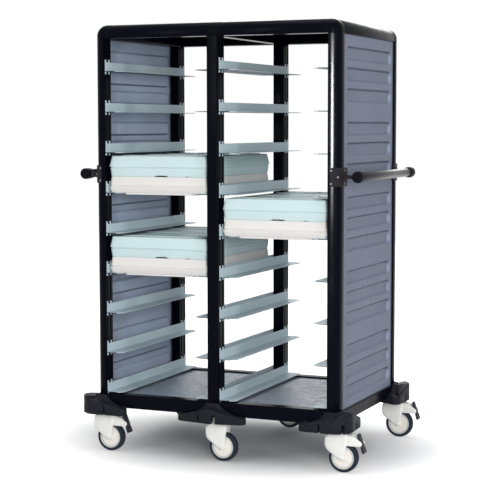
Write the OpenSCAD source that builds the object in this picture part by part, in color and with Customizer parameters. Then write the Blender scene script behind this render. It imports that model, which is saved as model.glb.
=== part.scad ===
// Meal tray cart with two columns of nine levels, on six casters.
// The front and the back are open; the sides and the roof are closed.
// +X is the cart's right side and -Y its front, as a person who loads it stands.

/* [Frame] */
// Outer width over the side faces of the posts
frame_w = 900; // [840:10:1000]
// Outer depth over the front and back faces of the posts
frame_d = 650; // [620:10:760]
// Width of a corner post, seen from the front
post_w = 39; // [39:1:48]
// Depth of every post, from its outer face inwards
post_d = 56; // [50:1:66]
// Width of the two middle posts
mid_post_w = 41; // [38:1:56]
// Radius of the frame's rounded outer corners and top edges
corner_r = 38; // [24:1:38]
// Radius of the small edges of the middle posts and base rails
edge_r = 5; // [2:0.5:8]
// Height of the top rails
top_rail_h = 47; // [44:1:60]
// Width of the top rails, seen from above
top_rail_t = 45; // [42:1:55]
// Length of a top corner cap, from the outer face to its seam
cap_l = 60; // [54:1:90]
// Height of the front and back base rails
base_rail_h = 46; // [42:1:60]
// Width of the front and back base rails, seen from above
base_rail_t = 40; // [34:1:50]
// Height of the cross rails that run front to back at the base
cross_rail_h = 37; // [30:1:40]
// Width of the rails that run front to back down the middle
mid_rail_t = 30; // [20:1:36]
// Wall thickness of the hollow posts and rails
tube_wall = 3; // [2:0.25:3.5]

/* [Levels] */
// Number of tray levels in each column
level_count = 9; // [6:1:10]
// Distance from one level to the next
level_pitch = 140; // [136:1:160]
// Height of the lowest slide above the base rail
first_gap = 4; // [3:1:12]
// Room from the top slide's underside to the top rail
top_room = 113; // [100:1:150]

/* [Tray slides] */
// Width of a slide's flange, with its web
slide_flange = 57; // [50:1:66]
// Height of a slide's upright web
slide_web = 32; // [26:1:40]
// Thickness of the bent sheet
slide_t = 2; // [1.5:0.25:2.5]
// Outer radius of the bend
slide_bend = 4; // [3:0.5:6]
// Distance from a slide's end to the post's outer face
slide_inset = 11; // [8:1:16]
// Length of the slanted cut at a flange's inner tips
tip_cut_l = 14; // [6:1:24]
// Width of that cut across the flange
tip_cut_w = 20; // [8:1:30]
// Width of one hook
hook_w = 7; // [5:0.5:9]
// Height that a hook stands past the web, above and below
hook_h = 9; // [6:0.5:12]
// Depth that a hook's lip reaches into the post
hook_l = 4; // [3:0.5:6]
// Height of the lip
lip_h = 4; // [3:0.5:5]
// Distance between the two hooks of one end
hook_gap = 24; // [18:1:28]

/* [Panels] */
// Thickness of the sheet of the side panels
panel_t = 3; // [2:0.5:4]
// Depth of the side panel's outer face behind the posts' side faces
panel_inset = 4; // [2:0.5:8]
// Groups of grooves on a side panel
group_count = 5; // [3:1:5]
// Distance between groups
group_pitch = 248; // [230:2:248]
// Grooves in a group
groove_count = 3; // [2:1:3]
// Distance between grooves of one group
groove_pitch = 69; // [62:1:72]
// Height of a groove
groove_h = 50; // [36:1:54]
// Depth of a groove
groove_depth = 8; // [4:0.5:12]
// Distance from a groove's end to the panel's edge
groove_end = 28; // [20:1:60]
// Distance from the panel's top to its first groove
groove_top = 37; // [20:1:40]
// Thickness of the floor sheets
floor_t = 3; // [2:0.5:4]
// Distance between the floor's ridges
ridge_pitch = 12; // [8:1:24]
// Height of a ridge
ridge_h = 1; // [0.5:0.25:1.5]
// Thickness of the roof sheet
roof_t = 3; // [2:0.5:5]
// Depth of the roof's top face below the rails
roof_drop = 5; // [2:1:12]

/* [Bumpers] */
// Distance that a bumper stands out in front of the posts
bumper_out = 46; // [36:1:56]
// Distance that a corner bumper stands out past the side faces
bumper_side = 50; // [40:1:60]
// Length of a corner bumper's wing along the front, from the side face
wing_front = 128; // [110:1:150]
// Length of its wing along the side, from the post's front face
wing_side = 120; // [100:1:140]
// Length of a middle bumper
mid_bumper_l = 250; // [200:5:300]
// Thickness of the bumper below the base rails
bumper_plate = 22; // [18:1:30]
// Height that the bumper climbs up the post above the base rails' underside
bumper_rise = 42; // [30:1:45]
// Height of the upright wall at the bumper's rim
bumper_rim = 28; // [24:1:40]
// Radius of a corner bumper's outer corner
bumper_corner_r = 60; // [40:1:66]
// Radius of the tips of the bumpers' wings
bumper_tip_r = 20; // [16:1:22]
// Radius of a middle bumper's bulge
bumper_bulge_r = 60; // [54:2:80]
// Margin of a bumper's collar around its post
bumper_collar = 6; // [4:1:9]
// Width of the notch that leads out from each caster's neck
notch_w = 13; // [10:1:18]
// Width of the slits in the bumpers' walls
slit_w = 8; // [4:1:12]
// Distance from the swivel's axis to a slit, along the wall
slit_offset = 34; // [24:1:60]
// Turn of a middle bumper's notch from straight ahead, in degrees
mid_notch_turn = 18; // [0:1:30]
// Play around the caster's neck in the bumper's pocket
neck_play = 2; // [1.5:0.25:3]

/* [Casters] */
// Wheel diameter
wheel_d = 100; // [90:5:125]
// Wheel width
wheel_w = 28; // [24:1:30]
// Thickness of the tyre
tyre_t = 11; // [8:1:14]
// Distance from the swivel's axis to the wheel's axle
trail = 34; // [30:1:40]
// Distance from a swivel's axis to the frame's outer faces
stem_inset = 17; // [15:1:19]
// Diameter of the steel stem
stem_d = 12; // [10:0.5:14]
// Length of stem inside the post's solid foot
stem_grip = 45; // [25:1:60]
// Diameter of the stem's collar inside the housing
stem_collar_d = 18; // [15:1:19]
// Height of that collar
stem_collar_h = 4; // [3:0.5:6]
// Diameter of the neck on top of the housing
neck_d = 20; // [18:1:24]
// Height of the neck
neck_h = 18; // [12:1:19]
// Height of the housing above the axle
housing_rise = 82; // [80:1:96]
// Width of the housing
housing_w = 46; // [44:1:56]
// Radius of the housing's nose, seen from the side
nose_r = 32; // [28:1:34]
// Radius of the housing round the axle's ends
boss_r = 11; // [9:1:16]
// Distance that this round lies ahead of the axle
boss_lead = 3; // [0:0.5:4]
// Diameter of the axle
axle_d = 8; // [6:0.5:10]
// Thickness of the hub's rim
hub_rim_t = 4; // [3:0.5:6]
// Thickness of the hub's boss around the axle
hub_boss_t = 8; // [5:0.5:10]
// Height of the pedal's pin above the axle
pedal_pin_z = 50; // [48:1:54]
// Distance of the pedal's pin behind the axle
pedal_pin_x = 46; // [44:1:50]
// Diameter of the pedal's pin
pedal_pin_d = 6; // [4:0.5:8]
// Width of the pedal's lever between the arm's two cheeks
lever_w = 26; // [20:1:28]
// Thickness of the pedal's lever and foot plate
pedal_t = 7; // [6:0.5:9]
// Distance from the axle to the pedal's outer tip
pedal_reach = 74.5; // [70:0.5:80]
// Width of the pedal's foot plate
pedal_w = 34; // [28:1:44]

/* [Push handles] */
// Height of the bar's axis above the floor
handle_z = 973; // [900:1:1050]
// Distance from the side face to the bar's axis
handle_out = 54; // [48:1:70]
// Diameter of the bar
handle_d = 30; // [25:1:32]
// Length over both end caps
handle_l = 600; // [560:5:620]
// Diameter of an end cap
cap_d = 38; // [36:1:44]
// Length of an end cap
end_cap_l = 46; // [40:1:60]
// Height of the bracket on the post
bracket_h = 61; // [50:1:80]
// Thickness of the bracket
bracket_t = 5; // [3:0.5:6]
// Distance that the bracket reaches back along the side
bracket_side = 74; // [66:1:90]
// Width of the arm from the bracket to the end cap, along the cart's side
arm_w = 26; // [20:1:36]
// Height of that arm
arm_h = 18; // [14:1:26]
// Wall between the end cap's socket and the bar's surface
bar_wall = 3; // [2:0.5:4]
// Distance from a screw to the bracket's edge
screw_edge = 9; // [7:0.5:12]
// Length of a screw behind the bracket
screw_grip = 6; // [4:1:10]
// Diameter of a screw's shank
screw_d = 5; // [4:0.5:6]
// Diameter of a screw's head
screw_head_d = 8; // [7:0.5:10]

/* [Meal trays] */
// Length of a tray, front to back
tray_l = 570; // [500:5:580]
// Play beside a tray, on each side, between the webs of its slides
tray_play = 3.25; // [2:0.25:10]
// Height of the tray's base
base_h = 56; // [45:1:58]
// Height of the base's lip above its underside
base_lip_z = 22; // [14:1:28]
// Height of the lid
lid_h = 74; // [55:1:76]
// Height of the lid's lip above its rim
lid_lip_z = 33; // [20:1:38]
// Taper of each side, from the lip to the top, the rim and the underside
tray_taper = 7; // [3:0.5:10]
// Radius of the tray's upright corners
tray_r = 18; // [12:1:30]
// Wall thickness of the insulated base and lid
tray_wall = 22; // [16:1:26]
// Depth of the base's well
well_depth = 34; // [20:1:36]
// Depth of the hollow inside the lid
hollow_depth = 57; // [30:1:60]
// Levels that hold a tray in the left column, counted from the bottom
left_trays = [3, 5];
// Levels that hold a tray in the right column, counted from the bottom
right_trays = [4];
// Distance from a slide's end back to the front of its tray
tray_inset = 4; // [0:1:20]
// Depth that a tray's belly hangs between the slides' flanges
belly_h = 6; // [2:1:12]
// Play between the belly and each flange
belly_play = 3; // [1:0.5:10]

/* [Clearances] */
// Gap between pieces that only lie beside each other
gap = 0.3; // [0.2:0.05:0.5]
// Radial clearance of a pin that turns in its bore
pin_gap = 0.05; // [0.02:0.01:0.1]
// Gap between the caster's housing and the bumper above it
swivel_gap = 3; // [2:0.5:5]
// Gap beside the wheel inside its housing
wheel_gap = 2.5; // [1.5:0.5:4]

/* [Hidden] */
$fn = 64;
HULL_FN = 32;
eps = 0.01;

// Heights, built up from the floor
axle_z = wheel_d / 2;
housing_top = axle_z + housing_rise;
bumper_z = housing_top + swivel_gap;
base_z = bumper_z + bumper_plate;
base_top = base_z + base_rail_h;
cross_top = base_z + cross_rail_h;
slide_z0 = base_top + first_gap;
rail_z = slide_z0 + (level_count - 1) * level_pitch + top_room;
frame_h = rail_z + top_rail_h;

// Solid metal above the stem's bore in a post's foot
foot_roof = 6;

// Room past the end of a hook, stem, spigot or screw in its hole
end_play = 1;
// How far a hub's boss stands out beside its rim
boss_out = 1;

// Planes across the frame
side_x = frame_w / 2;
face_y = frame_d / 2;
outer_x = side_x - post_w;
inner_x = mid_post_w / 2;
post_y = face_y - post_d;
slide_l = frame_d - 2 * slide_inset;
column_x = (outer_x + inner_x) / 2;
foot_z = base_z + stem_grip + foot_roof;
// How far the rounded corner falls short of a square one
corner_loss = corner_r * (1 - sqrt(0.5));
stem_x = side_x - stem_inset;
stem_y = face_y - stem_inset;
panel_x = side_x - panel_inset;
neck_top = housing_top + neck_h;
bar_x = side_x + handle_out;
cap_y0 = handle_l / 2 - end_cap_l;
spigot_l = end_cap_l * 0.6;
cap_dome = 10;
screw_head_t = 2;
tray_w = outer_x - inner_x - 2 * (slide_t + tray_play);
belly_w = outer_x - inner_x - 2 * (slide_flange + belly_play);

// Shape details of the bumpers, the casters and the trays
tip_setback = 5;
collar_t = 1;
nose_lead = 2;
shoulder = [8, 10];
arm_root_x = 16;
arm_root_r = 19;
arm_drop = 3;
arm_tip_r = 9;
arm_tip_out = 12;
arm_cheek_t = 6;
lever_back = 18;
pedal_boss_r = 8;
pedal_top_out = 6;
pedal_top_gap = 1.5;
pedal_tip_drop = 28;
foot_share = 0.75;
tyre_shoulder = 4;
hub_r = wheel_d / 2 - tyre_t;
lip_w = 2;

// ---- Helpers ----

// Puts what is drawn at the back right corner at the corner with these signs
module at_corner(sx, sy) {
    mirror([sx < 0 ? 1 : 0, 0, 0]) mirror([0, sy < 0 ? 1 : 0, 0]) children();
}

// Draws at all four corners
module four_corners() {
    for (sx = [-1, 1], sy = [-1, 1]) at_corner(sx, sy) children();
}

// Rectangle from the origin with its far corner rounded
module rounded_section(w, d, r) {
    square([w - r, d]);
    square([w, d - r]);
    translate([w - r, d - r]) intersection() { circle(r); square(r); }
}

// Rectangle about the Y axis with its two far corners rounded
module two_rounded_section(w, d, r) {
    for (s = [0, 1]) mirror([s, 0]) rounded_section(w / 2, d, r);
}

// Rectangle about the Y axis
module square_about_y(w, d) {
    translate([-w / 2, 0]) square([w, d]);
}

// Rounded rectangle about the origin
module rounded_plate(l, w, r) {
    square([l - 2 * r, w], center = true);
    square([l, w - 2 * r], center = true);
    for (x = [-1, 1], y = [-1, 1]) translate([x * (l / 2 - r), y * (w / 2 - r)]) circle(r);
}

// Flat shape with round ends, drawn along Y
module stadium(l, h) {
    square([h, l - h], center = true);
    for (s = [-1, 1]) translate([0, s * (l - h) / 2]) circle(h / 2);
}

// Extrudes a section drawn in X and Z along Y, from y0 to y1
module along_y(y0, y1) {
    translate([0, y1, 0]) rotate([90, 0, 0]) linear_extrude(y1 - y0) children();
}

// Extrudes a section drawn in Y and Z along X, from x0 to x1
module along_x(x0, x1) {
    translate([x0, 0, 0]) rotate([90, 0, 90]) linear_extrude(x1 - x0) children();
}

// ---- Frame ----

// One column of slots in the post's face for the slides' hooks. The face looks along -X from x
module hook_slots(x) {
    for (k = [0:level_count - 1], i = [0, 1])
        translate([x - eps, hook_y(i) - hook_w / 2 - gap, slide_z0 + k * level_pitch - hook_h - gap])
            cube([hook_l + end_play + eps, hook_w + 2 * gap, slide_web + 2 * (hook_h + gap)]);
}

// Centre of hook i, from the slide's end inwards
function hook_y(i) = slide_l / 2 - hook_w / 2 - i * hook_gap;

// Hole for a caster's stem in the foot of a post
module stem_hole() {
    translate([0, 0, base_z - eps]) cylinder(d = stem_d + 2 * pin_gap, h = stem_grip + end_play + eps);
}

// Hollow of a post, between its solid foot and its closed top
module post_hollow() {
    translate([0, 0, foot_z]) linear_extrude(rail_z - tube_wall - foot_z) children();
}

module corner_post() {
    color("#14161b") difference() {
        translate([outer_x, post_y, base_z])
            linear_extrude(rail_z - base_z) rounded_section(post_w, post_d, corner_r);
        post_hollow() translate([outer_x + tube_wall, post_y + tube_wall])
            square([post_w - 2 * tube_wall - corner_loss, post_d - 2 * tube_wall - corner_loss]);
        hook_slots(outer_x);
        translate([stem_x, stem_y, 0]) stem_hole();
        bracket_holes();
    }
}

module middle_post() {
    color("#14161b") difference() {
        translate([0, post_y, base_z])
            linear_extrude(rail_z - base_z) two_rounded_section(mid_post_w, post_d, edge_r);
        post_hollow() translate([0, post_y + tube_wall])
            square_about_y(mid_post_w - 2 * tube_wall, post_d - 2 * tube_wall);
        for (s = [0, 1]) mirror([s, 0, 0]) mirror([1, 0, 0]) hook_slots(-inner_x);
        translate([0, stem_y, 0]) stem_hole();
    }
}

// The top rail's solid section: the outer top edge is rounded
module top_section() {
    translate([-top_rail_t, rail_z]) rounded_section(top_rail_t, top_rail_h, corner_r);
}

// The same section with its hollow
module top_tube_section() {
    difference() {
        top_section();
        translate([tube_wall - top_rail_t, rail_z + tube_wall])
            rounded_section(top_rail_t - 2 * tube_wall, top_rail_h - 2 * tube_wall, corner_r - tube_wall);
    }
}

// Square tube's section from the origin
module box_tube_section(w, h) {
    difference() {
        square([w, h]);
        translate([tube_wall, tube_wall]) square([w - 2 * tube_wall, h - 2 * tube_wall]);
    }
}

module top_cross_rail() {
    color("#14161b") for (s = [0, 1]) mirror([s, 0, 0])
        along_x(inner_x, side_x - cap_l) translate([face_y, 0]) top_tube_section();
}

module top_side_rails() {
    color("#14161b") for (s = [0, 1]) mirror([s, 0, 0])
        along_y(cap_l - face_y, face_y - cap_l) translate([side_x, 0]) top_tube_section();
}

module top_middle_rail() {
    color("#14161b") along_y(top_rail_t - face_y, face_y - top_rail_t) translate([-mid_rail_t / 2, rail_z])
        box_tube_section(mid_rail_t, top_rail_h - roof_drop - roof_t);
}

// Three rounded edges meet in a round corner
module top_corner_caps() {
    color("#191b20") four_corners() {
        along_x(side_x - cap_l, side_x - corner_r) translate([face_y, 0]) top_section();
        along_y(face_y - cap_l, face_y - corner_r) translate([side_x, 0]) top_section();
        translate([side_x - corner_r, face_y - corner_r, rail_z]) rotate_extrude(angle = 90) {
            square([corner_r, top_rail_h - corner_r]);
            translate([0, top_rail_h - corner_r]) intersection() {
                circle(corner_r);
                square(corner_r);
            }
        }
    }
}

module top_tee_caps() {
    color("#191b20") for (s = [0, 1]) mirror([0, s, 0])
        along_x(-inner_x, inner_x) translate([face_y, 0]) top_section();
}

// Front or back base rail in two lengths, with room at each end for the lowest hooks
module base_rail() {
    color("#14161b") for (s = [0, 1]) mirror([s, 0, 0]) difference() {
        along_x(inner_x, outer_x) translate([face_y - base_rail_t, base_z]) difference() {
            rounded_section(base_rail_t, base_rail_h, edge_r);
            translate([tube_wall, tube_wall])
                square([base_rail_t - 2 * tube_wall, base_rail_h - 2 * tube_wall]);
        }
        for (x = [inner_x, outer_x - slide_t - 2 * gap])
            translate([x - gap, hook_y(1) - hook_w / 2 - gap, slide_z0 - hook_h - gap])
                cube([slide_t + 4 * gap, hook_gap + hook_w + 2 * gap, base_rail_h]);
    }
}

module base_cross_rails() {
    color("#14161b") along_y(-post_y, post_y) {
        for (s = [0, 1]) mirror([s, 0]) translate([outer_x, base_z]) box_tube_section(post_w, cross_rail_h);
        translate([-mid_rail_t / 2, base_z]) box_tube_section(mid_rail_t, cross_rail_h);
    }
}

// ---- Sheets ----

// Ridged floor of one column, seen in section: the ridges run front to back
module floor_sheets() {
    inner_y = face_y - base_rail_t;
    ridge_field = outer_x - inner_x - 4 * ridge_pitch;
    ridge_n = floor(ridge_field / ridge_pitch);
    color("#a9adb5") for (s = [0, 1]) mirror([s, 0, 0]) {
        translate([inner_x, -inner_y, cross_top]) cube([outer_x - inner_x, 2 * inner_y, floor_t]);
        translate([gap / 2, -post_y, cross_top]) cube([panel_x - panel_t - gap / 2, 2 * post_y, floor_t]);
        for (i = [0:ridge_n])
            translate([column_x + (i - ridge_n / 2) * ridge_pitch - ridge_pitch / 4,
                       -inner_y + ridge_pitch, cross_top + floor_t - eps])
                cube([ridge_pitch / 2, 2 * (inner_y - ridge_pitch), ridge_h + eps]);
    }
}

module roof_sheet() {
    color("#2a2c31") translate([top_rail_t - side_x, top_rail_t - face_y, frame_h - roof_drop - roof_t])
        cube([frame_w - 2 * top_rail_t, frame_d - 2 * top_rail_t, roof_t]);
}

// Height of the middle of groove j in group i
function groove_z(i, j) = rail_z - groove_top - groove_h / 2 - i * group_pitch - j * groove_pitch;

// Draws at each groove that the panel's height has room for, with the shape's flat side in the panel's plane
module each_groove() {
    lowest_z = cross_top + panel_t + groove_h / 2;
    for (i = [0:group_count - 1], j = [0:groove_count - 1]) if (groove_z(i, j) > lowest_z)
        translate([panel_x, 0, groove_z(i, j)]) rotate([0, -90, 0]) children();
}

module side_panel() {
    groove_l = 2 * (post_y - groove_end);
    color("#8d939f") difference() {
        union() {
            translate([panel_x - panel_t, -post_y, cross_top]) cube([panel_t, 2 * post_y, rail_z - cross_top]);
            each_groove() linear_extrude(groove_depth + panel_t)
                stadium(groove_l + 2 * panel_t, groove_h + 2 * panel_t);
        }
        each_groove() translate([0, 0, -eps]) linear_extrude(groove_depth + eps) stadium(groove_l, groove_h);
    }
}

// ---- Tray slides ----

// One hook column of a slide: a C that grips the slot above and below the web
module hook_section() {
    polygon([
        [-hook_l, -hook_h], [slide_t, -hook_h], [slide_t, slide_web + hook_h],
        [-hook_l, slide_web + hook_h], [-hook_l, slide_web + hook_h - lip_h],
        [0, slide_web + hook_h - lip_h], [0, lip_h - hook_h], [-hook_l, lip_h - hook_h]
    ]);
}

// One slide. Its web stands on the plane x = 0 and its flange points along +X
module slide() {
    along_y(-slide_l / 2, slide_l / 2) {
        translate([0, slide_bend]) square([slide_t, slide_web - slide_bend]);
        translate([slide_bend, slide_bend]) intersection() {
            difference() { circle(slide_bend); circle(slide_bend - slide_t); }
            translate([-slide_bend, -slide_bend]) square(slide_bend);
        }
    }
    linear_extrude(slide_t) polygon([
        [slide_bend, -slide_l / 2], [slide_flange - tip_cut_w, -slide_l / 2],
        [slide_flange, tip_cut_l - slide_l / 2], [slide_flange, slide_l / 2 - tip_cut_l],
        [slide_flange - tip_cut_w, slide_l / 2], [slide_bend, slide_l / 2]
    ]);
    for (s = [0, 1], i = [0, 1]) mirror([0, s, 0])
        along_y(hook_y(i) - hook_w / 2, hook_y(i) + hook_w / 2) hook_section();
}

// The slides of one post face at x; the flanges point along dir
module slide_stack(x, dir) {
    color("#a5b5b3") for (k = [0:level_count - 1])
        translate([x, 0, slide_z0 + k * level_pitch]) mirror([dir < 0 ? 1 : 0, 0, 0]) slide();
}

// ---- Bumpers ----

// One upright round of a bumper's rim
module rim_round(x, y, r) {
    translate([x, y, bumper_z]) cylinder(r = r, h = bumper_rim, $fn = HULL_FN);
}

// Rounds whose hull is a corner bumper's rim; the wings' tips lie a little behind its bulge
module corner_bumper_rim() {
    tip = bumper_tip_r;
    rim_round(side_x - wing_front + tip, face_y + bumper_out - tip - tip_setback, tip);
    rim_round(side_x + bumper_side - bumper_corner_r, face_y + bumper_out - bumper_corner_r, bumper_corner_r);
    rim_round(side_x + bumper_side - tip - tip_setback, face_y - wing_side + tip, tip);
    rim_round(outer_x - tip, post_y, tip);
}

// Rounds whose hull is a middle bumper's rim
module middle_bumper_rim() {
    tip = bumper_tip_r;
    for (s = [-1, 1]) rim_round(s * (mid_bumper_l / 2 - tip), face_y + tip / 2, tip);
    rim_round(0, face_y + bumper_out - bumper_bulge_r, bumper_bulge_r);
}

// The collar about the post, of width w at x, that the bumper's slope climbs to
module collar_top(w, x) {
    translate([x - w / 2 - bumper_collar, post_y, base_z + bumper_rise - collar_t])
        cube([w + 2 * bumper_collar, post_d + bumper_collar, collar_t]);
}

// Pocket for the caster's neck, bore for its stem, and the notch that leads out of the pocket.
// The notch points along +Y, turned by the given angle
module neck_cuts(x, turn) {
    pocket_h = neck_h - swivel_gap + neck_play;
    translate([x, stem_y, bumper_z - eps]) {
        cylinder(d = neck_d + 2 * neck_play, h = pocket_h);
        cylinder(d = stem_d + 2 * pin_gap, h = bumper_plate + 2 * eps);
        rotate([0, 0, turn]) translate([-notch_w / 2, 0, 0])
            cube([notch_w, post_d + bumper_out, pocket_h + notch_w]);
    }
}

// Slit at x through a wall that faces +Y, from inside the rim at y outwards
module rim_slit(x, y) {
    translate([x - slit_w / 2, y, bumper_z - eps])
        cube([slit_w, bumper_side + bumper_out, bumper_plate + bumper_rise]);
}

// The space that the posts and base rails fill above the bumper's plate
module frame_space() {
    translate([-side_x, -face_y, base_z]) cube([frame_w, frame_d, frame_h]);
}

module corner_bumpers() {
    color("#26272b") four_corners() difference() {
        hull() {
            corner_bumper_rim();
            collar_top(post_w, side_x - post_w / 2);
        }
        frame_space();
        neck_cuts(stem_x, -45);
        rim_slit(stem_x - slit_offset, face_y + bumper_out / 2);
        rotate([0, 0, -90]) rim_slit(slit_offset - stem_y, side_x + bumper_side / 2);
    }
}

module middle_bumpers() {
    color("#26272b") for (turn = [0, 180]) rotate([0, 0, turn]) difference() {
        hull() {
            middle_bumper_rim();
            collar_top(mid_post_w, 0);
        }
        frame_space();
        neck_cuts(0, mid_notch_turn);
        rim_slit(slit_offset, face_y + bumper_out / 2);
    }
}

// ---- Push handles ----

// Draws at the bar's axis at the height of the handle, looking along Y
module at_bar(y0, y1, r) {
    translate([bar_x, y1, handle_z]) rotate([90, 0, 0]) cylinder(r = r, h = y1 - y0);
}

// Bar with a thinner spigot at each end
module handle_bar() {
    color("#4a463f") {
        at_bar(-cap_y0, cap_y0, handle_d / 2);
        for (s = [0, 1]) mirror([0, s, 0])
            at_bar(cap_y0 - eps, cap_y0 + spigot_l, handle_d / 2 - bar_wall);
    }
}

// End cap: a socket for the bar's spigot with a domed end
module handle_end_caps() {
    color("#1e1f23") four_corners() difference() {
        union() {
            at_bar(cap_y0, handle_l / 2 - cap_dome, cap_d / 2);
            translate([bar_x, handle_l / 2 - cap_dome, handle_z]) rotate([-90, 0, 0]) rotate_extrude() {
                intersection() {
                    translate([cap_d / 2 - cap_dome, 0]) circle(cap_dome);
                    square([cap_d, cap_dome]);
                }
                square([cap_d / 2 - cap_dome, cap_dome]);
            }
        }
        at_bar(cap_y0 - eps, cap_y0 + spigot_l + end_play, handle_d / 2 - bar_wall + pin_gap);
    }
}

// Draws at each screw of a bracket, with Z out of its surface
module each_bracket_screw() {
    row = bracket_h / 2 - screw_edge;
    // Two on the side plate, over the post's back edge
    for (z = [-row, row]) translate([side_x + bracket_t, post_y + screw_edge, handle_z + z])
        rotate([0, 90, 0]) children();
    // Two near the front face and one halfway round the corner: height and angle about its centre
    for (p = [[-row, 72], [row, 72], [0, 40]])
        translate([side_x - corner_r, face_y - corner_r, handle_z + p[0]]) rotate([0, 0, p[1]])
            translate([corner_r + bracket_t, 0, 0]) rotate([0, 90, 0]) children();
}

// Holes for the bracket's screws, from outside the bracket into the post and past the screws' ends
module bracket_holes() {
    room = 2 * end_play;
    each_bracket_screw() translate([0, 0, -bracket_t - screw_grip - room])
        cylinder(d = screw_d + 2 * pin_gap, h = bracket_t + screw_grip + room + end_play);
}

module bracket_screws() {
    color("#77797d") four_corners() each_bracket_screw() {
        cylinder(d = screw_head_d, h = screw_head_t);
        translate([0, 0, -bracket_t - screw_grip]) cylinder(d = screw_d, h = bracket_t + screw_grip + eps);
    }
}

// Plate bent round the post's corner, with an arm out to the bar's end cap
module handle_brackets() {
    arm_y = handle_l / 2 - end_cap_l / 2;
    side_y = face_y - bracket_side;
    low_z = handle_z - bracket_h / 2;
    color("#2d2b2c") four_corners() difference() {
        union() {
            intersection() {
                translate([0, 0, low_z]) linear_extrude(bracket_h) difference() {
                    translate([outer_x, post_y]) rounded_section(post_w + bracket_t, post_d + bracket_t,
                        corner_r + bracket_t);
                    translate([outer_x - 1, post_y - 1]) rounded_section(post_w + 1, post_d + 1, corner_r);
                }
                translate([outer_x + 2 * bracket_t, side_y, 0]) cube([frame_w, frame_d, frame_h]);
            }
            translate([side_x, side_y, low_z]) cube([bracket_t, bracket_side - post_d + eps, bracket_h]);
            translate([side_x + eps, arm_y - arm_w / 2, handle_z - arm_h / 2]) cube([handle_out, arm_w, arm_h]);
        }
        at_bar(0, frame_d, cap_d / 2);
        bracket_holes();
    }
}

// ---- Casters ----

// Draws at the wheel's axle of the caster with these signs: X is along the trail, Y along the axle
module at_axle(sx, sy) {
    translate([sx * stem_x + trail, sy * stem_y, axle_z]) children();
}

// Cylinder about the axle, centred on the wheel
module about_axle(r, w) {
    rotate([90, 0, 0]) cylinder(r = r, h = w, center = true);
}

module caster_stems() {
    color("#9a9c9f") for (sx = [-1, 0, 1], sy = [-1, 1]) translate([sx * stem_x, sy * stem_y, wheel_d]) {
        cylinder(d = stem_d, h = base_z + stem_grip - wheel_d);
        cylinder(d = stem_collar_d, h = stem_collar_h);
    }
}

// Side view of the housing: a drop from the nose down to the axle
module housing_side() {
    hull() {
        translate([-trail - nose_lead, housing_rise - nose_r]) circle(nose_r, $fn = 48);
        translate([-boss_lead, 0]) circle(boss_r, $fn = HULL_FN);
        translate([shoulder[0], housing_rise - shoulder[1]]) circle(shoulder[1], $fn = HULL_FN);
    }
}

// Side view of the arm that holds the pedal
module arm_side() {
    hull() {
        translate([arm_root_x, housing_rise - arm_root_r - arm_drop]) circle(arm_root_r, $fn = HULL_FN);
        translate([pedal_pin_x + arm_tip_out, pedal_pin_z]) circle(arm_tip_r, $fn = HULL_FN);
    }
}

// Pocket for the stem's shank and collar, open to the wheel below
module stem_pocket() {
    collar_hole = stem_collar_d + 2 * pin_gap;
    translate([-trail, 0, axle_z - gap]) {
        cylinder(d = stem_d + 2 * pin_gap, h = housing_rise + neck_h);
        translate([0, 0, -axle_z]) cylinder(d = collar_hole, h = axle_z + stem_collar_h + 2 * gap);
    }
}

// Housing with its neck and the axle; brake is true where it holds a pedal
module housing(sx, sy, brake) {
    cheek_y = housing_w / 2;
    nose_x = cheek_y - nose_r - trail - nose_lead;
    color("#efeee6") at_axle(sx, sy) difference() {
        union() {
            intersection() {
                union() {
                    along_y(-cheek_y, cheek_y) housing_side();
                    if (brake) along_y(-lever_w / 2 - arm_cheek_t, lever_w / 2 + arm_cheek_t) arm_side();
                }
                translate([nose_x, 0, -axle_z]) linear_extrude(housing_top) {
                    circle(cheek_y);
                    translate([0, -cheek_y]) square([frame_w, housing_w]);
                }
            }
            translate([-trail, 0, housing_rise - eps]) cylinder(d = neck_d, h = neck_h + eps);
        }
        about_axle(wheel_d / 2 + wheel_gap + 1, wheel_w + 2 * wheel_gap);
        about_axle(axle_d / 2 + pin_gap / 2, housing_w + 1);
        stem_pocket();
        if (brake) {
            translate([pedal_pin_x - lever_back, -lever_w / 2, 0]) cube([frame_w, lever_w, frame_h]);
            translate([pedal_pin_x, 0, pedal_pin_z]) about_axle(pedal_pin_d / 2 + pin_gap, housing_w);
        }
    }
    color("#b9bbbd") at_axle(sx, sy) about_axle(axle_d / 2, housing_w);
}

// Hub: a boss on the axle, a web and a rim under the tyre
module hub(sx, sy) {
    bore_r = axle_d / 2 + pin_gap;
    color("#f0ece0") at_axle(sx, sy) rotate([90, 0, 0]) rotate_extrude() {
        translate([bore_r, -wheel_w / 2 - boss_out]) square([hub_boss_t, wheel_w + 2 * boss_out]);
        translate([bore_r, -wheel_w / 4]) square([hub_r - bore_r, wheel_w / 2]);
        translate([hub_r - hub_rim_t, -wheel_w / 2]) square([hub_rim_t, wheel_w]);
    }
}

// The tyre's tread is crowned, so it stands on its middle
module tyre(sx, sy) {
    half = wheel_w / 2;
    tread_r = wheel_d / 2;
    color("#3d444d") at_axle(sx, sy) rotate([90, 0, 0]) rotate_extrude() polygon([
        [hub_r, -half], [tread_r - tyre_shoulder, -half], [tread_r - 1, tyre_shoulder - half],
        [tread_r, -half / 3], [tread_r, half / 3],
        [tread_r - 1, half - tyre_shoulder], [tread_r - tyre_shoulder, half], [hub_r, half]
    ]);
}

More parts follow.
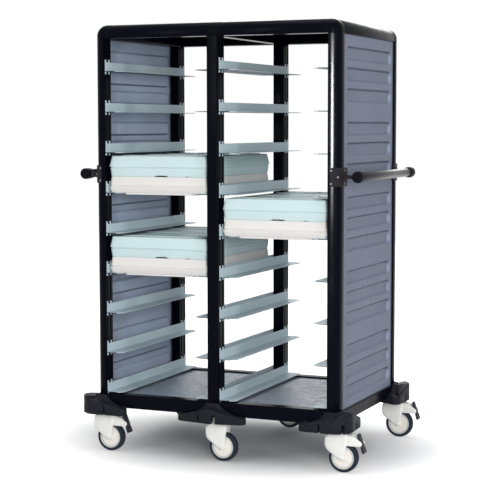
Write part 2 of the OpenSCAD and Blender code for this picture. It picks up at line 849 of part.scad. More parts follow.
// Pedal: a slanted lever on a pin in the housing's arm, with a wider foot plate at its lower end
module pedal(sx, sy) {
    round_r = pedal_t / 2;
    pin = [pedal_pin_x, pedal_pin_z];
    top = [pedal_pin_x + pedal_top_out, housing_rise + swivel_gap - pedal_top_gap - round_r];
    tip = [pedal_reach - round_r, pedal_pin_z - pedal_tip_drop];
    foot = top + (tip - top) * foot_share;
    color("#3b3d44") at_axle(sx, sy) {
        along_y(gap - lever_w / 2, lever_w / 2 - gap) {
            hull() for (p = [top, foot]) translate(p) circle(round_r, $fn = HULL_FN);
            hull() {
                translate(pin) circle(pedal_boss_r, $fn = HULL_FN);
                translate((top + foot) / 2) circle(round_r, $fn = HULL_FN);
            }
        }
        along_y(-pedal_w / 2, pedal_w / 2)
            hull() for (p = [foot, tip]) translate(p) circle(round_r, $fn = HULL_FN);
        translate([pin[0], 0, pin[1]]) about_axle(pedal_pin_d / 2, lever_w + 2 * arm_cheek_t - 2);
    }
}

// ---- Meal trays ----

// Column and level of a tray, as the height of its underside
function tray_z(level) = slide_z0 + level * level_pitch + slide_t;

// Draws at the middle of a tray's underside
module at_tray(sx, level) {
    translate([sx * column_x, tray_l / 2 - slide_l / 2 + tray_inset, tray_z(level)]) children();
}

// A band of the tray's wall that tapers from inset a at z0 to inset b at z1
module tray_band(z0, z1, a, b) {
    hull() {
        translate([0, 0, z0]) linear_extrude(eps) rounded_plate(tray_w - 2 * a, tray_l - 2 * a, tray_r);
        translate([0, 0, z1 - eps]) linear_extrude(eps) rounded_plate(tray_w - 2 * b, tray_l - 2 * b, tray_r);
    }
}

// Flat shape of the hollow inside a base or a lid
module tray_hollow() {
    rounded_plate(tray_w - 2 * (tray_taper + tray_wall), tray_l - 2 * (tray_taper + tray_wall), tray_r);
}

module tray_base(sx, level) {
    color("#efe6e2") at_tray(sx, level) difference() {
        union() {
            tray_band(0, base_lip_z, tray_taper, 0);
            tray_band(base_lip_z, base_h, lip_w, tray_taper);
            translate([0, 0, -belly_h]) linear_extrude(belly_h + eps)
                rounded_plate(belly_w, tray_l - 2 * (tray_taper + belly_play), tray_r);
        }
        translate([0, 0, base_h - well_depth]) linear_extrude(well_depth + 1) tray_hollow();
    }
}

module tray_lid(sx, level) {
    color("#d3e9ea") at_tray(sx, level) translate([0, 0, base_h]) difference() {
        union() {
            tray_band(0, lid_lip_z, tray_taper, lip_w);
            tray_band(lid_lip_z, lid_h, 0, tray_taper + lip_w);
        }
        translate([0, 0, -1]) linear_extrude(hollow_depth + 1) tray_hollow();
    }
}

// ---- Nodes ----

at_corner(-1, -1) corner_post();  // post_front_left
at_corner(1, -1) middle_post();  // post_front_middle
at_corner(1, -1) corner_post();  // post_front_right
at_corner(-1, 1) corner_post();  // post_back_left
middle_post();  // post_back_middle
corner_post();  // post_back_right
at_corner(1, -1) top_cross_rail();  // top_rail_front
top_cross_rail();  // top_rail_back
top_side_rails();
top_middle_rail();
top_corner_caps();
top_tee_caps();
at_corner(1, -1) base_rail();  // base_rail_front
base_rail();  // base_rail_back
base_cross_rails();
floor_sheets();
roof_sheet();
at_corner(-1, 1) side_panel();  // side_panel_left
side_panel();  // side_panel_right
slide_stack(-outer_x, 1);  // slides_left_outer
slide_stack(-inner_x, -1);  // slides_left_inner
slide_stack(inner_x, 1);  // slides_right_inner
slide_stack(outer_x, -1);  // slides_right_outer
corner_bumpers();
middle_bumpers();
at_corner(-1, 1) handle_bar();  // handle_bar_left
handle_bar();  // handle_bar_right
handle_end_caps();
handle_brackets();
bracket_screws();
caster_stems();
housing(-1, -1, true);  // housing_front_left
housing(0, -1, false);  // housing_front_middle
housing(1, -1, true);  // housing_front_right
housing(-1, 1, true);  // housing_back_left
housing(0, 1, false);  // housing_back_middle
housing(1, 1, true);  // housing_back_right
hub(-1, -1);  // hub_front_left
hub(0, -1);  // hub_front_middle
hub(1, -1);  // hub_front_right
hub(-1, 1);  // hub_back_left
hub(0, 1);  // hub_back_middle
hub(1, 1);  // hub_back_right
tyre(-1, -1);  // tyre_front_left
tyre(0, -1);  // tyre_front_middle
tyre(1, -1);  // tyre_front_right
tyre(-1, 1);  // tyre_back_left
tyre(0, 1);  // tyre_back_middle
tyre(1, 1);  // tyre_back_right
pedal(-1, -1);  // pedal_front_left
pedal(1, -1);  // pedal_front_right
pedal(-1, 1);  // pedal_back_left
pedal(1, 1);  // pedal_back_right
tray_base(-1, left_trays[0]);  // tray_base_lower_left
tray_base(-1, left_trays[1]);  // tray_base_upper_left
tray_base(1, right_trays[0]);  // tray_base_right
tray_lid(-1, left_trays[0]);  // tray_lid_lower_left
tray_lid(-1, left_trays[1]);  // tray_lid_upper_left
tray_lid(1, right_trays[0]);  // tray_lid_right
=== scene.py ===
# %% [markdown]
# # Dressing a meal tray cart
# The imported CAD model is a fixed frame: it says where every piece sits and how it moves. This lesson gives
# each piece its visible form and finish. Nearly every shape is worked out with numpy from an outline and a
# profile, so that rails, wheels, trays and bumpers come from the same few functions.

import bmesh
import bpy
import numpy as np
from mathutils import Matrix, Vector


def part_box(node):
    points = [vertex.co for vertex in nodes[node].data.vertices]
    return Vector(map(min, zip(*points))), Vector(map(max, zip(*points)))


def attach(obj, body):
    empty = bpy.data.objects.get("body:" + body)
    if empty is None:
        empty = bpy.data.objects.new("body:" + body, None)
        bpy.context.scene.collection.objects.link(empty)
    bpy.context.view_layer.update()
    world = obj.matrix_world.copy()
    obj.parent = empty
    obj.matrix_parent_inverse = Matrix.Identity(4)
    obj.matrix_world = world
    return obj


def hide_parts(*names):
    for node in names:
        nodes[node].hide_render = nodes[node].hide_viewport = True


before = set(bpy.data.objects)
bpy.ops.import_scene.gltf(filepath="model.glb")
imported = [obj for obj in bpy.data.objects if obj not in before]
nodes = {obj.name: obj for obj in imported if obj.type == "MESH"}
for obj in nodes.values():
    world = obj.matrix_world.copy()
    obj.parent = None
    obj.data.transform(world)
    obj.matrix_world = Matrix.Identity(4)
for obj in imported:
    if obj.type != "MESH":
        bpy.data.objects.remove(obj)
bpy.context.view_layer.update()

# %% [markdown]
# ## Sizes from the frame
# A dressed piece has to sit exactly on what carries it. So the sizes that several pieces share are read
# from the boxes of the CAD nodes, in metres, and nothing is measured twice.


# %% Sizes that several pieces share
def corners(node):
    """Lowest and highest corner of a CAD node, as two arrays."""
    low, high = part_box(node)
    return np.array(low), np.array(high)


post_low, post_high = corners("post_front_right")
side_x, face_y = post_high[0], -post_low[1]
post_in_x, post_in_y = post_low[0], -post_high[1]
base_z, rail_z = post_low[2], post_high[2]
mid_x = corners("post_front_middle")[1][0]
cap_top = corners("top_corner_caps")[1][2]
rail_start = corners("top_side_rails")[1][1]
corner_r = 0.038
level_pitch = 0.140
hook_lip = 0.009
level_z = corners("slides_left_outer")[0][2] + hook_lip
print("frame", side_x, face_y, "posts from", base_z, "to", rail_z, "top", cap_top)

# %% [markdown]
# ## Camera
# The photograph shows the cart from its front right, with the camera a little above its middle. The place
# and the lens were found by fitting the posts, slides and casters of the CAD model to the photograph.


# %% The camera
def placed(name, data):
    """Puts an object with this data in the scene."""
    made = bpy.data.objects.new(name, data)
    bpy.context.scene.collection.objects.link(made)
    return made


camera = placed("camera", bpy.data.cameras.new("camera"))
camera.location = (2.073, -4.880, 1.141)
camera.rotation_euler = np.radians([90 - 4.803, 0.04, 22.995])
camera.data.lens = 106.87
bpy.context.scene.camera = camera
print("camera", camera.location[:], "lens", camera.data.lens)

# %% [markdown]
# ## Studio
# The cart stands on a pale floor in an even light, so a soft shadow is all that shows of the room. The world
# is white where the camera or a reflection looks at it, which adds no light to the cart. World, ground and
# finishes are trees of nodes, and short helpers add a node and link it.


# %% Helpers for trees of nodes
def link(tree, kind, inputs, **settings):
    """Adds a node to a tree. Settings are its properties. An input is a value or another node's output."""
    new = tree.nodes.new("ShaderNode" + kind)
    for key, value in settings.items():
        setattr(new, key, value)
    for key, value in inputs.items():
        if isinstance(value, bpy.types.NodeSocket):
            tree.links.new(value, new.inputs[key])
        else:
            new.inputs[key].default_value = value
    return new


def maths(tree, operation, first, second=0.0):
    """The result of a Math node with one or two inputs."""
    return link(tree, "Math", {0: first, 1: second}, operation=operation).outputs[0]


def seen_directly(tree):
    """1 for a ray from the camera, a reflection or glass, and 0 for light that falls on a piece."""
    path = link(tree, "LightPath", {}).outputs
    seen = maths(tree, "MAXIMUM", path["Is Camera Ray"], path["Is Glossy Ray"])
    return maths(tree, "MAXIMUM", seen, path["Is Transmission Ray"])


# %% The world
world_light = 0.36
world = bpy.data.worlds.new("studio")
bpy.context.scene.world = world
world.use_nodes = True
tree = world.node_tree
strength = link(tree, "MapRange", {"Value": seen_directly(tree), "To Min": world_light})
background = tree.nodes["Background"].inputs
background["Color"].default_value = (1, 1, 1, 1)
tree.links.new(strength.outputs[0], background["Strength"])
print("world light", world_light)

# %% [markdown]
# ## Lamps
# Five large lamps light the whole cart. Two more are linked to some pieces only: one just shows as the
# bright line down the front right post, and one shines along the side panels, so that the far ends of their
# bands catch the light.


# %% Lamps
def lamp(name, place, target, size, power, lights=True):
    """A rectangular lamp at a place that shines at a target. One that doesn't light only shows in gloss."""
    data = bpy.data.lights.new(name, "AREA")
    data.shape = "RECTANGLE"
    data.size, data.size_y = size
    data.energy = power
    lamp_object = placed(name, data)
    lamp_object.location = place
    lamp_object.visible_diffuse = lights
    aim = np.array(target) - np.array(place)
    tilt = np.arccos(-aim[2] / np.linalg.norm(aim))
    lamp_object.rotation_euler = (tilt, 0, np.arctan2(aim[1], aim[0]) - np.pi / 2)


lamp("key", (-1.9, -4.4, 3.2), (0, 0, 0.9), (0.7, 2.4), 30)
lamp("front", (3.0, -5.2, 1.7), (0, 0, 0.8), (1.6, 2.2), 165)
lamp("strip", (5.0, -2.3, 1.3), (0.4, -0.3, 0.9), (0.25, 2.6), 34)
lamp("top", (0.2, 0.2, 4.6), (0, 0, 0.5), (2.5, 2.5), 52)
lamp("post_highlight", (2.7, -5.2, 2.4), (0.5, -0.35, 1.3), (1.7, 2.0), 11000, lights=False)
lamp("panel_ends", (0.85, -5.2, 1.3), (0.4, 0.2, 0.8), (0.5, 2.2), 210)
lamp("back", (-1.2, 5.0, 2.6), (0, 0, 0.8), (2.5, 2.0), 50)
print("lamps", len(bpy.data.lights))

# %% [markdown]
# ## The ground
# The ground takes the cart's shadow like any matt floor. Away from the cart it also glows, but only for the
# camera and reflections, so that it fades to white as a studio's backdrop does.

# %% The ground
floor_half = 9.0
glow_squeeze = 1.35
floor_colour = (0.68, 0.68, 0.69, 1)
floor_mesh = bpy.data.meshes.new("studio_floor")
floor_corners = np.array([(-1, -1, 0), (1, -1, 0), (1, 1, 0), (-1, 1, 0)]) * floor_half
floor_mesh.from_pydata(floor_corners, [], [(0, 1, 2, 3)])
studio_floor = placed("studio_floor", floor_mesh)

floor_paint = bpy.data.materials.new("studio_floor")
floor_paint.use_nodes = True
tree = floor_paint.node_tree
tree.nodes.clear()
place = link(tree, "TexCoord", {})
oval = link(tree, "Mapping", {"Vector": place.outputs["Object"], "Scale": (1.0, glow_squeeze, 1.0)})
distance = link(tree, "VectorMath", {0: oval.outputs[0]}, operation="LENGTH")
limits = {"From Min": 0.25, "From Max": 1.1, "To Min": 0.015}
glow = link(tree, "MapRange", {"Value": distance.outputs["Value"], **limits},
            interpolation_type="SMOOTHSTEP")
glow_seen = maths(tree, "MULTIPLY", glow.outputs[0], seen_directly(tree))
emission = link(tree, "Emission", {"Strength": glow_seen})
diffuse = link(tree, "BsdfDiffuse", {"Color": floor_colour})
both = link(tree, "AddShader", {0: diffuse.outputs[0], 1: emission.outputs[0]})
link(tree, "OutputMaterial", {"Surface": both.outputs[0]})
floor_mesh.materials.append(floor_paint)
print("ground", floor_half)

# %% [markdown]
# ## Finishes
# Each finish is one Principled shader. What is even over the surface sits on the shader's own sockets. What
# varies comes from noise on Object coordinates, so it stays put: a slight mottle in the colour, an uneven
# gloss from handling, and a fine relief such as orange peel.


# %% Helpers for finishes
def linear(red, green, blue):
    """Turns display values from 0 to 255 into the linear colour that a shader takes."""
    value = np.array([red, green, blue]) / 255
    return np.where(value <= 0.04045, value / 12.92, ((value + 0.055) / 1.055) ** 2.4)


def noise(tree, size, stretch=(1, 1, 1), detail=4.0):
    """Noise with features about size metres across, drawn out along each axis by stretch."""
    place = link(tree, "TexCoord", {})
    scale = tuple(1 / s for s in stretch)
    mapped = link(tree, "Mapping", {"Vector": place.outputs["Object"], "Scale": scale})
    inputs = {"Vector": mapped.outputs[0], "Scale": 1 / size, "Detail": detail}
    return link(tree, "TexNoise", inputs).outputs["Fac"]


def finish(name, colour, rough, specular=0.5, metal=0.0, mottle=(0.3, 0.06), gloss=(0.08, 0.05),
           relief=(0.9, 0.03), stretch=(1, 1, 1)):
    """A painted, moulded or metal finish.

    mottle is the size and strength of the colour's variation, gloss the size and reach of the roughness's,
    with sizes in metres. relief is the grain's size and height in millimetres.
    """
    material = bpy.data.materials.new(name)
    material.use_nodes = True
    tree = material.node_tree
    shader = tree.nodes["Principled BSDF"]
    shader.inputs["Metallic"].default_value = metal
    shader.inputs["Specular IOR Level"].default_value = specular
    base = linear(*colour)
    size, amount = mottle
    tint = link(tree, "Mix", {0: noise(tree, size, stretch), 6: (*base * (1 - amount), 1),
                              7: (*np.minimum(base * (1 + amount), 1), 1)}, data_type="RGBA")
    tree.links.new(tint.outputs[2], shader.inputs["Base Color"])
    size, amount = gloss
    sheen = link(tree, "MapRange", {"Value": noise(tree, size, stretch), "From Min": 0.3, "From Max": 0.7,
                                    "To Min": rough - amount, "To Max": rough + amount})
    tree.links.new(sheen.outputs[0], shader.inputs["Roughness"])
    size, height = relief
    grain = noise(tree, size / 1000, stretch, 2.0)
    bump = link(tree, "Bump", {"Height": grain, "Distance": height / 1000})
    tree.links.new(bump.outputs[0], shader.inputs["Normal"])
    print("finish", name)
    return material


# %% [markdown]
# ## Black powder coat, and what is moulded in black
# The frame is glossy and nearly black with a hint of blue. Its caps are plastic of the same colour with a
# slightly softer gloss. The bumpers are charcoal and matt, with a coarse moulded grain. All of them reflect
# little, because the white room would turn a black surface grey.

# %% Finishes of the frame, the caps and the bumpers
powder_black = finish("powder_black", (9, 11, 20), 0.2, specular=0.02, relief=(1.6, 0.02))
cap_black = finish("cap_black", (11, 12, 19), 0.28, specular=0.02, relief=(0.8, 0.02))
roof_black = finish("roof_black", (16, 17, 22), 0.45, specular=0.05)
charcoal = finish("charcoal", (38, 38, 45), 0.42, specular=0.035, mottle=(0.012, 0.45), gloss=(0.008, 0.12),
                  relief=(2.6, 0.28))

# %% [markdown]
# ## Sheets, handles, casters and trays
# Panels and slides are coated sheet, so their mottle is wide and faint. The floor sheet is scuffed by use.
# The push bar is brushed, with noise drawn out along it. Casters and trays are pale plastic.

# %% Finishes of the sheets and the slides
panel_grey = finish("panel_grey", (124, 131, 149), 0.34, specular=0.02, mottle=(0.22, 0.05),
                    gloss=(0.12, 0.08), relief=(0.7, 0.02))
floor_grey = finish("floor_grey", (140, 152, 167), 0.42, specular=0.16, mottle=(0.014, 0.42),
                    gloss=(0.02, 0.12), relief=(1.2, 0.06), stretch=(1, 1.6, 1))
slide_green = finish("slide_green", (204, 222, 229), 0.4, specular=0.04, mottle=(0.05, 0.05),
                     gloss=(0.05, 0.08), relief=(0.6, 0.02), stretch=(1, 7, 1))

# %% Finishes of the handles, the casters and the trays
bronze = finish("bronze", (23, 22, 26), 0.34, metal=0.75, mottle=(0.004, 0.1), gloss=(0.003, 0.06),
                relief=(0.5, 0.02), stretch=(1, 60, 1))
grip_black = finish("grip_black", (20, 20, 26), 0.4, specular=0.03, relief=(0.7, 0.04))
bracket_dark = finish("bracket_dark", (41, 39, 44), 0.46, specular=0.05, mottle=(0.006, 0.3),
                      relief=(0.9, 0.06))
screw_steel = finish("screw_steel", (118, 118, 122), 0.4, metal=1.0, mottle=(0.004, 0.08),
                     relief=(0.4, 0.01))
caster_white = finish("caster_white", (246, 246, 241), 0.3, mottle=(0.05, 0.02), relief=(1.2, 0.02))
hub_cream = finish("hub_cream", (247, 244, 236), 0.36, specular=0.4, mottle=(0.02, 0.03), relief=(1, 0.02))
ring_grey = finish("ring_grey", (206, 208, 208), 0.3, mottle=(0.02, 0.03), relief=(1, 0.02))
tyre_slate = finish("tyre_slate", (46, 54, 64), 0.6, specular=0.05, mottle=(0.012, 0.12), gloss=(0.01, 0.1),
                    relief=(0.8, 0.05))
pedal_grey = finish("pedal_grey", (44, 48, 56), 0.48, specular=0.1, mottle=(0.01, 0.1), relief=(0.8, 0.06))
tray_plastic = {"rough": 0.5, "specular": 0.08, "mottle": (0.06, 0.02), "relief": (1.1, 0.04)}
tray_white = finish("tray_white", (236, 233, 230), **tray_plastic)
lid_aqua = finish("lid_aqua", (211, 232, 234), **tray_plastic)

# %% [markdown]
# ## Painted light and shade
# A panel gets painted light on its inner face, painted shade darkens the walls of its bands, and a slide
# gets painted shade on its cut ends and underneath. Splitting the mesh would break the sheet, so each mask
# is worked out in the material, from a point's place and normal.


# %% Painted light and shade
def painted_where(material, mask, colour):
    """Lays another colour over a finish where the mask gives 1."""
    tree = material.node_tree
    place = link(tree, "TexCoord", {}).outputs["Object"]
    normal = link(tree, "NewGeometry", {}).outputs["Normal"]
    place, normal = [link(tree, "SeparateXYZ", {0: vector}).outputs for vector in (place, normal)]
    base = tree.nodes["Principled BSDF"].inputs["Base Color"]
    inputs = {0: mask(tree, place, normal), 6: base.links[0].from_socket, 7: (*linear(*colour), 1)}
    tree.links.new(link(tree, "Mix", inputs, data_type="RGBA").outputs[2], base)
    print(material.name, "has a second colour")


def painted_light_inner_face(tree, place, normal):
    """1 on a side panel's inner face, for painted light: the X of its place and of its normal differ in
    sign.
    """
    return maths(tree, "LESS_THAN", maths(tree, "MULTIPLY", place["X"], normal["X"]), 0.0)


def painted_shade_flange_end(tree, place, normal):
    """1 on the cut end of a slide's flange, for painted shade: it looks forwards or backwards, and lies just
    at a level.
    """
    facing = maths(tree, "GREATER_THAN", maths(tree, "ABSOLUTE", normal["Y"]), 0.9)
    above = maths(tree, "MODULO", maths(tree, "SUBTRACT", place["Z"], level_z - 0.0005), level_pitch)
    return maths(tree, "MULTIPLY", facing, maths(tree, "LESS_THAN", above, 0.003))


def painted_shade_underside(tree, place, normal):
    """1 where a slide looks straight down, under its flange, for painted shade."""
    return maths(tree, "LESS_THAN", normal["Z"], -0.8)


def painted_shade_walls(tree, place, normal):
    """Up to 0.75 on the walls of a groove that look down or backwards, for painted shade."""
    hidden = maths(tree, "MAXIMUM", maths(tree, "MULTIPLY", normal["Z"], -1.0), normal["Y"])
    limits = {"From Min": 0.25, "From Max": 0.85, "To Max": 0.75}
    return link(tree, "MapRange", {"Value": hidden, **limits}).outputs[0]


# Painted light: a panel's inner face is lighter, as if more light fell into the cart.
painted_where(panel_grey, painted_light_inner_face, (152, 164, 184))
# Painted shade on the walls of the bands that look down or backwards.
painted_where(panel_grey, painted_shade_walls, (58, 64, 80))
# Painted shade on the cut ends of the slides' flanges.
painted_where(slide_green, painted_shade_flange_end, (40, 46, 52))
# Painted shade under the slides' flanges.
painted_where(slide_green, painted_shade_underside, (92, 104, 110))

# %% [markdown]
# ## One way to make a surface
# A surface is a grid of points: one direction runs round an outline, the other along a profile. The outline
# is like a band round pegs: in each direction the circle that reaches farthest gives the point. So a rounded
# rectangle is four small circles, and each point's outward direction is known.


# %% Outlines, profiles and grids
def rounds(circles, turns=96):
    """Band round circles (x, y, radius): the farthest circle's centre plus its radius, for each direction.

    Each direction is taken twice, a hair apart, so that a straight stretch gets both its ends.
    """
    angle = np.repeat(np.linspace(0, 2 * np.pi, turns, endpoint=False), 2) + np.tile([-1e-5, 1e-5], turns)
    out = np.stack([np.cos(angle), np.sin(angle)], -1)
    circles = np.asarray(circles, float)
    reach = out @ circles[:, :2].T + circles[:, 2]
    farthest = circles[reach.argmax(1)]
    return farthest[:, :2] + farthest[:, 2:] * out, out


def rectangle(low, high, radii, turns):
    """Rounded rectangle between two corners, with a radius for each, anticlockwise from the high one."""
    (left, front), (right, back) = low, high
    a, b, c, d = np.broadcast_to(radii, 4)
    return rounds([(right - a, back - a, a), (left + b, back - b, b), (left + c, front + c, c),
                   (right - d, front + d, d)], turns)


def finer(outline, step):
    """Adds points along an outline's long straight stretches, so that these can bend too."""
    points = outline[0]
    following = np.roll(points, -1, 0)
    pieces = np.maximum(np.ceil(np.linalg.norm(following - points, axis=1) / step), 1).astype(int)
    index = np.repeat(np.arange(len(points)), pieces)
    share = (np.arange(len(index)) - np.repeat(np.cumsum(pieces) - pieces, pieces)) / pieces[index]
    share = share[:, None]
    return tuple((1 - share) * v[index] + share * np.roll(v, -1, 0)[index] for v in outline)


def carried(outline, profile, axis="z"):
    """Carries profile rows (inset, height) round an outline: each row is the outline drawn in and raised."""
    points, out = outline
    inset, height = np.asarray(profile, float).T
    flat = points - inset[:, None, None] * out
    high = np.broadcast_to(height[:, None, None], flat.shape[:2] + (1,))
    order = {"x": (2, 0, 1), "y": (0, 2, 1), "z": (0, 1, 2)}[axis]
    return np.concatenate([flat, high], -1)[..., order]


def edged(start, stop, edge, steps=4):
    """Profile of a bar from start to stop whose two ends have a quarter-round edge."""
    angle = np.linspace(0, np.pi / 2, steps)
    inset, along = edge * (1 - np.sin(angle)), edge * (1 - np.cos(angle))
    return np.vstack([np.stack([inset, start + along], -1), np.stack([inset, stop - along], -1)[::-1]])


def mm(rows):
    """Profile rows written in millimetres, in metres."""
    return np.array(rows) / 1000


# %% From grids to surfaces
def skin(grid, ring=True, ends=True):
    """Points and faces of a grid. ring joins its last column to its first, ends closes its end rows."""
    rows, columns = grid.shape[:2]
    index = np.arange(rows * columns).reshape(rows, columns)
    closing = [index[0].tolist(), index[-1].tolist()] if ends else []
    if ring:
        index = np.concatenate([index, index[:, :1]], 1)
    quads = np.stack([index[:-1, :-1], index[:-1, 1:], index[1:, 1:], index[1:, :-1]], -1)
    return grid.reshape(-1, 3), quads.reshape(-1, 4).tolist() + closing


def pulled(outline, profile, axis="z"):
    """The closed surface of an outline carried along a profile."""
    return skin(carried(outline, profile, axis))


def turned(profile, centre, axis="z", turns=64, ends=True):
    """The surface of profile rows (radius, height) turned about a line through centre along an axis."""
    circle = rounds([(*centre, 0)], turns)
    return skin(carried(circle, np.asarray(profile, float) * (-1, 1), axis), ends=ends)


# %% Places on the cart
row_signs = {"front": -1, "back": 1}
column_signs = {"left": -1, "right": 1}
both_sides = [(-1, 1), (1, 1)]
four_signs = [(sx, sy) for sx in (-1, 1) for sy in (-1, 1)]
six_places = [(f"{row}_{column}", sx, sy) for column, sx in (("left", -1), ("middle", 0), ("right", 1))
              for row, sy in row_signs.items()]


def mirrored(surface, x=1, y=1):
    """A surface on the other side of the cart."""
    return surface[0] * (x, y, 1), surface[1]


def repeated(parts, signs=four_signs):
    """Copies of surfaces on several sides of the cart."""
    return [mirrored(part, sx, sy) for sx, sy in signs for part in parts]


def moved(surface, place):
    """A surface at another place."""
    return surface[0] + np.array(place), surface[1]


def swung(surface, degrees, place):
    """A surface turned about the Z axis, then moved to a place."""
    angle = np.radians(degrees)
    c, s = np.cos(angle), np.sin(angle)
    return moved((surface[0] @ [[c, s, 0], [-s, c, 0], [0, 0, 1]], surface[1]), place)


print("places", six_places)

# %% [markdown]
# ## From surfaces to a piece
# A piece is one object that may hold many closed surfaces, such as all the screws. Doubled points are merged
# and every face is turned outwards. Faces that meet at more than a set angle keep a sharp edge.


# %% Making, cutting and dressing a piece
def solid(name, surfaces):
    """Makes one object of many surfaces."""
    starts = np.cumsum([0] + [len(points) for points, _ in surfaces])
    faces = [[i + start for i in face] for start, (_, part) in zip(starts, surfaces) for face in part]
    mesh = bpy.data.meshes.new(name)
    mesh.from_pydata(np.concatenate([points for points, _ in surfaces]), [], faces)
    cleaned = bmesh.new()
    cleaned.from_mesh(mesh)
    bmesh.ops.remove_doubles(cleaned, verts=cleaned.verts, dist=2e-6)
    bmesh.ops.dissolve_degenerate(cleaned, edges=cleaned.edges, dist=1e-6)
    bmesh.ops.recalc_face_normals(cleaned, faces=cleaned.faces)
    cleaned.to_mesh(mesh)
    cleaned.free()
    return placed(name, mesh)


def settled(target):
    """Applies all of an object's modifiers to its mesh."""
    graph = bpy.context.evaluated_depsgraph_get()
    mesh = bpy.data.meshes.new_from_object(target.evaluated_get(graph))
    target.modifiers.clear()
    target.data = mesh


def combine(target, surfaces, operation="DIFFERENCE"):
    """Takes closed surfaces out of an object, one after the other, or welds them to it with UNION."""
    tools = [solid("tool", [surface]) for surface in surfaces]
    for tool in tools:
        boolean = target.modifiers.new("combine", "BOOLEAN")
        boolean.operation = operation
        boolean.solver = "EXACT"
        boolean.object = tool
    settled(target)
    for tool in tools:
        bpy.data.objects.remove(tool)


def softened(target, width):
    """Rounds an object's sharp edges, as moulding does, and turns it back into a surface."""
    bevel = target.modifiers.new("soften", "BEVEL")
    bevel.width = width
    bevel.segments = 2
    bevel.angle_limit = np.radians(35)
    settled(target)
    mesh = target.data
    bpy.data.objects.remove(target)
    points = np.empty(3 * len(mesh.vertices), np.float32)
    mesh.vertices.foreach_get("co", points)
    return points.reshape(-1, 3), [list(face.vertices) for face in mesh.polygons]


def dress(name, surfaces, material, replaced=(), body="cart", crease=32):
    """Makes a piece, with its finish and its place in the cart: the nodes that it stands for and its body.
    """
    target = solid(name, surfaces)
    mesh = target.data
    mesh.materials.clear()
    mesh.materials.append(material)
    mesh.shade_smooth()
    mesh.set_sharp_from_angle(angle=np.radians(crease))
    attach(target, body)
    if replaced:
        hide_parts(*replaced)
    print(name, len(mesh.polygons), "faces")
    return target


def repaint(node, material):
    """Gives a CAD node that keeps its own shape a better finish."""
    slots = nodes[node].material_slots
    for held in slots:
        held.material = material
    if not slots:
        nodes[node].data.materials.append(material)


# %% [markdown]
# ## Posts
# The posts are aluminium profiles. A corner post is round on the cart's outer corner, and its inner face has
# two upright channels for the slides' hooks. A channel is a step in the outline, so this outline is a list
# of stretches, and the direction of each point is worked out from its neighbours.

# %% Posts with their channels
channel_depth, channel_w = 0.002, 0.0076
hook_w, hook_gap = 0.007, 0.024
slide_end_y = corners("slides_left_outer")[1][1]
channel_ys = [slide_end_y - hook_w / 2 - i * hook_gap for i in (1, 0)]


def directions(points):
    """Outward direction at each point of an anticlockwise outline: square to its two neighbours' line."""
    along = np.roll(points, -1, 0) - np.roll(points, 1, 0)
    out = np.stack([along[:, 1], -along[:, 0]], -1)
    return out / np.linalg.norm(out, axis=1)[:, None]


def channels(x, into, ys):
    """Points along a post's inner face at x that step into it for each channel's middle in ys."""
    points = []
    half = np.sign(ys[1] - ys[0]) * channel_w / 2
    for y in ys:
        points += [(x, y - half), (x + into, y - half), (x + into, y + half), (x, y + half)]
    return points


def quarter(x, y, radius, start, steps):
    """Quarter circle about x, y that starts at an angle in degrees and runs anticlockwise."""
    angle = np.radians(start + np.linspace(0, 90, steps))
    return np.stack([x + radius * np.cos(angle), y + radius * np.sin(angle)], -1)


def arcs(low, high, big, small, big_steps, steps):
    """The four arcs of a rounded rectangle, anticlockwise from its high corner, which has the big radius."""
    (left, front), (right, back) = low, high
    return [quarter(right - big, back - big, big, 0, big_steps),
            quarter(left + small, back - small, small, 90, steps),
            quarter(left + small, front + small, small, 180, steps),
            quarter(right - small, front + small, small, 270, steps)]


def post(left, right, outer_r, inner_r, both):
    """A closed post with a small edge at its foot and its top, and channels in its left face or in both."""
    stretches = arcs((left, post_in_y), (right, face_y), outer_r, inner_r, 16, 6)
    stretches.insert(2, channels(left, channel_depth, channel_ys[::-1]))
    if both:
        stretches.append(channels(right, -channel_depth, channel_ys))
    points = np.concatenate(stretches)
    return pulled((points, directions(points)), edged(base_z, rail_z, 0.0006, 3))


corner_post = post(post_in_x, side_x, corner_r, 0.003, False)
middle_post = post(-mid_x, mid_x, 0.005, 0.003, True)
for name, sx, sy in six_places:
    shape = mirrored(corner_post if sx else middle_post, sx or 1, sy)
    dress(f"{name}_post", [shape], powder_black, [f"post_{name}"])


def shines_on(lamp_name, piece_names):
    """Lets a lamp reach only the named pieces."""
    group = bpy.data.collections.new(lamp_name)
    for name in piece_names:
        group.objects.link(bpy.data.objects[name])
    bpy.data.objects[lamp_name].light_linking.receiver_collection = group


shines_on("post_highlight", ["front_right_post"])

# %% [markdown]
# ## Top rails and caps
# The top rails are profiles too, round over their top edge. Moulded caps join them, and the corner caps turn
# the same section through a quarter circle. Past the turn's centre its points are held at the mitre.

# %% Top rails and tee caps
top_depth = side_x - corners("roof_sheet")[1][0]
seam_edge = 0.0009
arm_start = corners("top_rail_front")[1][0]


def rail_section(outer):
    """A top rail's section (across, up): a quarter circle over its outer top edge, small radii elsewhere."""
    low, high = (outer - top_depth, rail_z), (outer, cap_top)
    points = np.concatenate(arcs(low, high, corner_r, 0.0015, 24, 5))
    return points, directions(points)


front_section = rail_section(face_y)
front_rail = pulled(front_section, edged(mid_x, arm_start, seam_edge), "x")
for row, sy in row_signs.items():
    rails = repeated([front_rail], [(-1, sy), (1, sy)])
    dress(f"{row}_top_rail", rails, powder_black, [f"top_rail_{row}"])

side_rail = pulled(rail_section(side_x), edged(-rail_start, rail_start, seam_edge), "y")
dress("side_top_rails", repeated([side_rail], both_sides), powder_black, ["top_side_rails"])

tee_cap = pulled(front_section, edged(-mid_x, mid_x, seam_edge), "x")
dress("tee_caps", repeated([tee_cap], [(1, -1), (1, 1)]), cap_black, ["top_tee_caps"])


